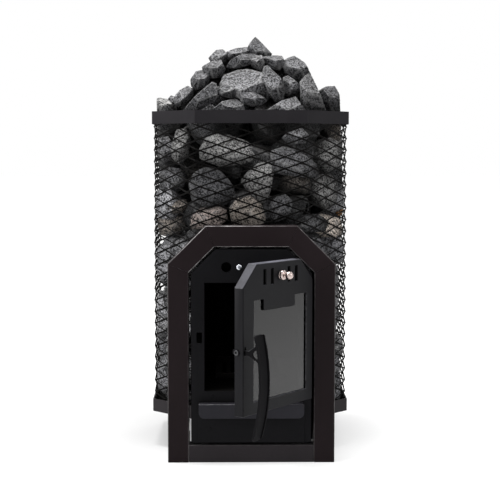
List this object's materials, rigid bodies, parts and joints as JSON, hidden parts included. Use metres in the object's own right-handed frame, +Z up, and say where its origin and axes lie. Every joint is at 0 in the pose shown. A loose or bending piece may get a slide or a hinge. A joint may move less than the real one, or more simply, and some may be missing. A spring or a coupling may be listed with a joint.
{
  "type": "sauna stove",
  "caption": "Wood-burning sauna stove: octagonal mesh cage heaped with stones round a firebox, hinged glass fire door, ash drawer and a portal frame with angled shoulders.",
  "frame": {"origin": "on the floor under the middle of the portal frame's bottom rail", "axes": "+Z up, the front with the fire door faces -Y, +X to the right seen from the front"},
  "size_m": [0.5, 0.8521, 1.053],
  "materials": {
    "portal_paint": "matt heat-proof paint, brown-black",
    "black_paint": "matt heat-proof black paint",
    "net_steel": "black expanded metal",
    "fire_steel": "dark heat-proof steel",
    "cast_iron": "rough cast",
    "bright_steel": "bright zinc",
    "polished_knob": "polished, warm tint",
    "smoked_glass": "grey ceramic glass",
    "rope_seal": "woven glass rope",
    "stove_stone": "split rough grey stone"
  },
  "bodies": {
    "stove": {"portal_left_post": "portal_paint", "portal_left_mitre": "portal_paint", "portal_top_rail": "portal_paint", "portal_right_mitre": "portal_paint", "portal_right_post": "portal_paint", "portal_bottom_rail": "portal_paint", "fuel_tunnel": "fire_steel", "firebox_left_wall": "fire_steel", "firebox_right_wall": "fire_steel", "firebox_rear_wall": "fire_steel", "firebox_front_wall": "fire_steel", "firebox_roof": "fire_steel", "firebox_floor": "fire_steel", "flue_collar": "fire_steel", "ash_box": "fire_steel", "base_pan": "fire_steel", "fire_grate": "cast_iron", "flame_baffle": "cast_iron", "front_plate": "black_paint", "sill_screw": "black_paint", "top_band": "black_paint", "bottom_band": "black_paint", "leg_front_left": "black_paint", "leg_front_right": "black_paint", "leg_rear_left": "black_paint", "leg_rear_right": "black_paint", "portal_stay_left": "black_paint", "portal_stay_right": "black_paint", "net_front": "net_steel", "net_front_right": "net_steel", "net_right": "net_steel", "net_rear_right": "net_steel", "net_rear": "net_steel", "net_rear_left": "net_steel", "net_left": "net_steel", "net_front_left": "net_steel", "stones_left": "stove_stone", "stones_right": "stove_stone", "stones_rear": "stove_stone", "stones_front": "stove_stone", "stones_crown_front": "stove_stone", "stones_crown_left": "stove_stone", "stones_crown_right": "stove_stone", "stones_crown_rear": "stove_stone", "plate_screw": "bright_steel", "hinge_lug_lower": "bright_steel", "hinge_lug_upper": "bright_steel"},
    "door": {"door_panel": "black_paint", "door_glass": "smoked_glass", "door_liner": "fire_steel", "door_seal": "rope_seal", "latch_bolt": "bright_steel"},
    "air_control": {"air_shutter": "fire_steel", "air_knob": "polished_knob"},
    "latch": {"latch_lever": "black_paint", "handle_grip": "black_paint", "latch_roller": "bright_steel"},
    "ash_drawer": {"ash_drawer_tray": "fire_steel", "ash_drawer_front": "black_paint", "ash_drawer_grip": "black_paint"}
  },
  "joints": [
    {"name": "door_hinge", "type": "hinge", "parent": "stove", "child": "door", "pos_m": [0.135, -0.0365, 0.3], "axis": [0, 0, 1], "range_deg": [-52.5, 47.5]},
    {"name": "latch_lift", "type": "hinge", "parent": "door", "child": "latch", "pos_m": [-0.03127, -0.24168, 0.306], "axis": [-0.6088, -0.7934, 0], "range_deg": [0, 20]},
    {"name": "air_slide", "type": "slide", "parent": "door", "child": "air_control", "axis": [0.6088, 0.7934, 0], "range_m": [0, 0.013]},
    {"name": "ash_drawer_slide", "type": "slide", "parent": "stove", "child": "ash_drawer", "axis": [0, -1, 0], "range_m": [0, 0.2]}
  ]
}
